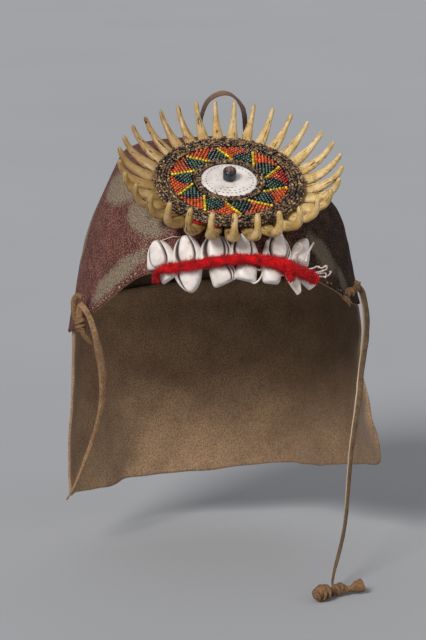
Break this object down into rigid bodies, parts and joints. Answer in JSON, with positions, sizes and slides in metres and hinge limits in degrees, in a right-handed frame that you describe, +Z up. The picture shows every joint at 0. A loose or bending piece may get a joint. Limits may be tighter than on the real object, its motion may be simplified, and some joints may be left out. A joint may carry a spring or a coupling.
{
  "type": "beaded leather hat",
  "caption": "Leather hood with a tusk-ringed beaded disc on the forehead, a row of cut shells and red wool on the front rim, a suede neck flap and two thong ties.",
  "frame": {"origin": "top of the hollow under the crown, where the top of a head sits", "axes": "+Z up, the face opening towards -Y, +X to the right of a viewer who faces the hat"},
  "size_m": [0.2105, 0.223, 0.3083],
  "materials": {
    "painted_leather": "worn maroon paint on grained leather",
    "suede": "brown suede, flesh side out",
    "strap_leather": "dark brown strap leather",
    "thong_leather": "tan twisted thong",
    "beadwork": "glass seed beads in triangles of orange, yellow, green and black",
    "border_beads": "small dark brown, grey and tan glass beads",
    "red_cloth": "red woven cloth",
    "shell": "white polished shell",
    "dark_glass": "dark blue-black glass",
    "red_wool": "fuzzy red wool",
    "tusk": "ochre-cream tusk with fine brown cracks"
  },
  "bodies": {
    "root": {"hood": "painted_leather", "neck_flap": "suede", "hanging_loop": "strap_leather", "beaded_disc": "beadwork", "backing_cloth": "red_cloth", "outer_bead_border": "border_beads", "inner_bead_border": "border_beads", "shell_disc": "shell", "centre_bead": "dark_glass", "yarn": "red_wool", "left_tie": "thong_leather", "left_knot": "thong_leather", "right_tie": "thong_leather", "right_knot": "thong_leather", "end_knot": "thong_leather", "tusk_01": "tusk", "tusk_02": "tusk", "tusk_03": "tusk", "tusk_04": "tusk", "tusk_05": "tusk", "tusk_06": "tusk", "tusk_07": "tusk", "tusk_08": "tusk", "tusk_09": "tusk", "tusk_10": "tusk", "tusk_11": "tusk", "tusk_12": "tusk", "tusk_13": "tusk", "tusk_14": "tusk", "tusk_15": "tusk", "tusk_16": "tusk", "tusk_17": "tusk", "tusk_18": "tusk", "tusk_19": "tusk", "tusk_20": "tusk", "tusk_21": "tusk", "tusk_22": "tusk", "tusk_23": "tusk", "tusk_24": "tusk", "tusk_25": "tusk", "tusk_26": "tusk", "tusk_27": "tusk", "tusk_28": "tusk", "tusk_29": "tusk", "tusk_30": "tusk", "tusk_31": "tusk", "shell_upper_1": "shell", "shell_upper_2": "shell", "shell_upper_3": "shell", "shell_upper_4": "shell", "shell_upper_5": "shell", "shell_upper_6": "shell", "shell_lower_1": "shell", "shell_lower_2": "shell", "shell_lower_3": "shell", "shell_lower_4": "shell", "shell_lower_5": "shell", "shell_lower_6": "shell", "shell_lower_7": "shell"}
  },
  "joints": []
}
